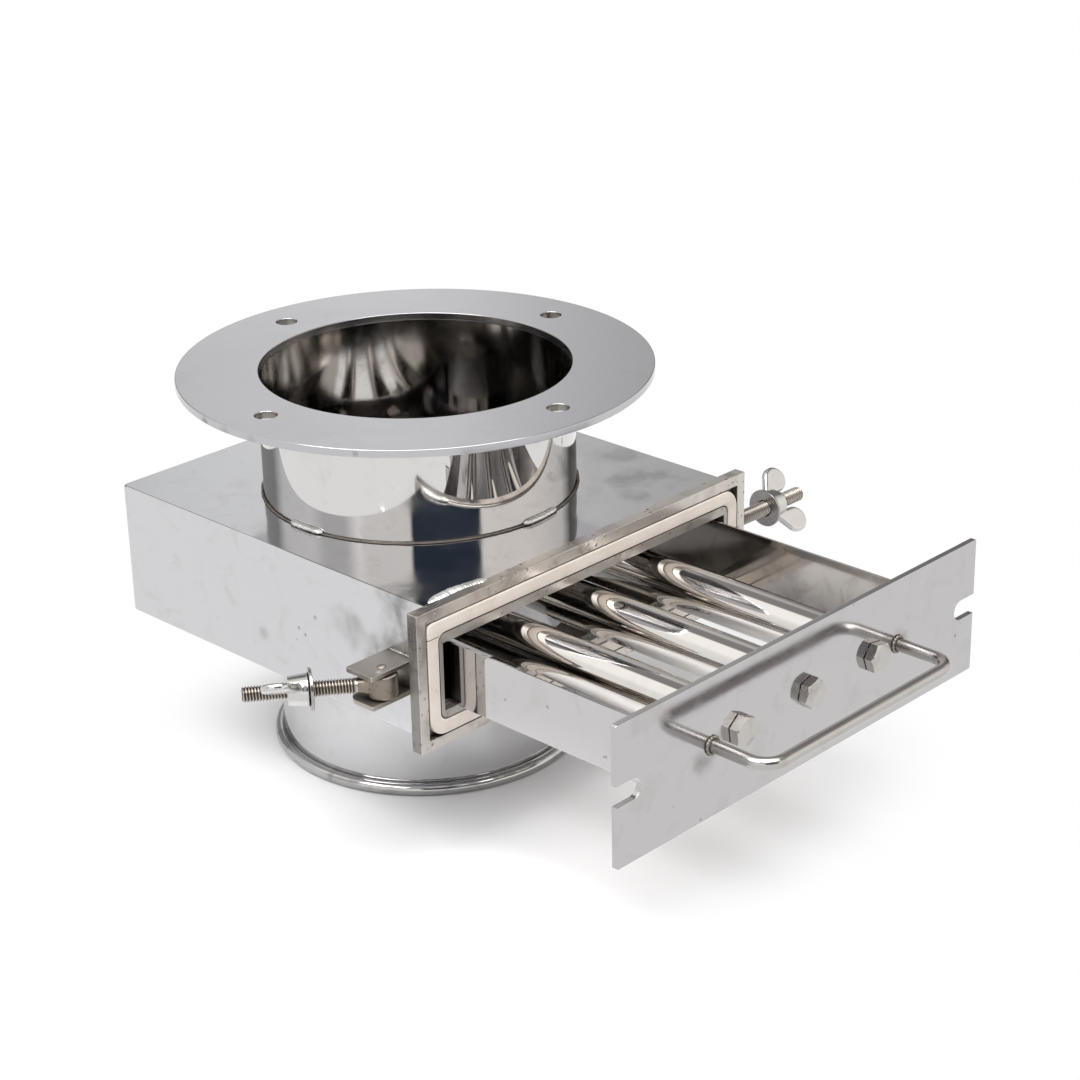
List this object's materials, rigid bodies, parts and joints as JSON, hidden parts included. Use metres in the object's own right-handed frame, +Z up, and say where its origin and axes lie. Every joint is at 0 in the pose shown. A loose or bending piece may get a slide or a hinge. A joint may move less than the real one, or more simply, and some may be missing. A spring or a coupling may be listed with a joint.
{
  "type": "drawer magnet",
  "caption": "Drawer magnet for a gravity chute: flanged round inlet, flat housing, beaded round outlet and a pull-out drawer of magnet tubes clamped by swing bolts with wing nuts.",
  "frame": {"origin": "centre of the outlet's rolled bead, on the plane that it stands on", "axes": "+Z up along the chute, -Y the way the drawer opens, +X the object's right seen from behind it"},
  "size_m": [0.4547, 0.5174, 0.2576],
  "materials": {
    "satin_steel": "satin stainless sheet",
    "polished_steel": "mirror-polished stainless sheet",
    "sheet_steel": "polished stainless sheet with light smudges",
    "ground_steel": "ground stainless bar with pits",
    "rod_steel": "polished round rod",
    "fastener_steel": "bright machined stainless",
    "pole_iron": "plain mild steel",
    "gasket_rubber": "cream silicone",
    "magnet_core": "dark sintered magnet"
  },
  "bodies": {
    "housing": {"housing_wall": "sheet_steel", "housing_top": "polished_steel", "housing_bottom": "sheet_steel", "inlet_flange": "satin_steel", "inlet_spout": "polished_steel", "outlet_spout": "polished_steel", "mouth_frame": "ground_steel", "mouth_rim": "ground_steel", "mouth_gasket": "gasket_rubber", "runner_left": "sheet_steel", "clevis_left": "ground_steel", "clevis_pin_left": "ground_steel", "runner_right": "sheet_steel", "clevis_right": "ground_steel", "clevis_pin_right": "ground_steel"},
    "drawer": {"drawer_frame": "polished_steel", "front_plate": "satin_steel", "handle": "rod_steel", "front_bolt_left": "fastener_steel", "rear_bolt_left": "fastener_steel", "tube_sleeve_left": "polished_steel", "front_plug_left": "pole_iron", "rear_plug_left": "pole_iron", "magnets_left": "magnet_core", "pole_pieces_left": "pole_iron", "front_bolt_centre": "fastener_steel", "rear_bolt_centre": "fastener_steel", "tube_sleeve_centre": "polished_steel", "front_plug_centre": "pole_iron", "rear_plug_centre": "pole_iron", "magnets_centre": "magnet_core", "pole_pieces_centre": "pole_iron", "front_bolt_right": "fastener_steel", "rear_bolt_right": "fastener_steel", "tube_sleeve_right": "polished_steel", "front_plug_right": "pole_iron", "rear_plug_right": "pole_iron", "magnets_right": "magnet_core", "pole_pieces_right": "pole_iron"},
    "swing_bolt_left": {"swing_bolt_left": "fastener_steel"},
    "washer_left": {"washer_left": "fastener_steel"},
    "wing_nut_left": {"wing_nut_left": "fastener_steel"},
    "swing_bolt_right": {"swing_bolt_right": "fastener_steel"},
    "washer_right": {"washer_right": "fastener_steel"},
    "wing_nut_right": {"wing_nut_right": "fastener_steel"}
  },
  "joints": [
    {"name": "drawer_slide", "type": "slide", "parent": "housing", "child": "drawer", "axis": [0, -1, 0], "range_m": [-0.165, 0.08]},
    {"name": "swing_left", "type": "hinge", "parent": "housing", "child": "swing_bolt_left", "pos_m": [-0.1528, -0.1248, 0.1287], "axis": [0, 0, 1], "range_deg": [-32, 128]},
    {"name": "washer_travel_left", "type": "slide", "parent": "swing_bolt_left", "child": "washer_left", "axis": [0.788, -0.6157, 0], "range_m": [-0.0261, 0.0101]},
    {"name": "nut_turn_left", "type": "hinge", "parent": "washer_left", "child": "wing_nut_left", "pos_m": [-0.1528, -0.1248, 0.1287], "axis": [0.788, -0.6157, 0], "range_deg": [-6240, 2400]},
    {"name": "swing_right", "type": "hinge", "parent": "housing", "child": "swing_bolt_right", "pos_m": [0.1528, -0.1248, 0.1287], "axis": [0, 0, 1], "range_deg": [-88.5, 71.5]},
    {"name": "washer_travel_right", "type": "slide", "parent": "swing_bolt_right", "child": "washer_right", "axis": [-0.9997, 0.0262, 0], "range_m": [-0.0216, 0.0146]},
    {"name": "nut_turn_right", "type": "hinge", "parent": "washer_right", "child": "wing_nut_right", "pos_m": [0.1528, -0.1248, 0.1287], "axis": [-0.9997, 0.0262, 0], "range_deg": [-5160, 3480]}
  ],
  "couplings": [
    {"joint": "washer_travel_left", "follows": "nut_turn_left", "m_per_rad": 0.00023873},
    {"joint": "washer_travel_right", "follows": "nut_turn_right", "m_per_rad": 0.00023873}
  ]
}
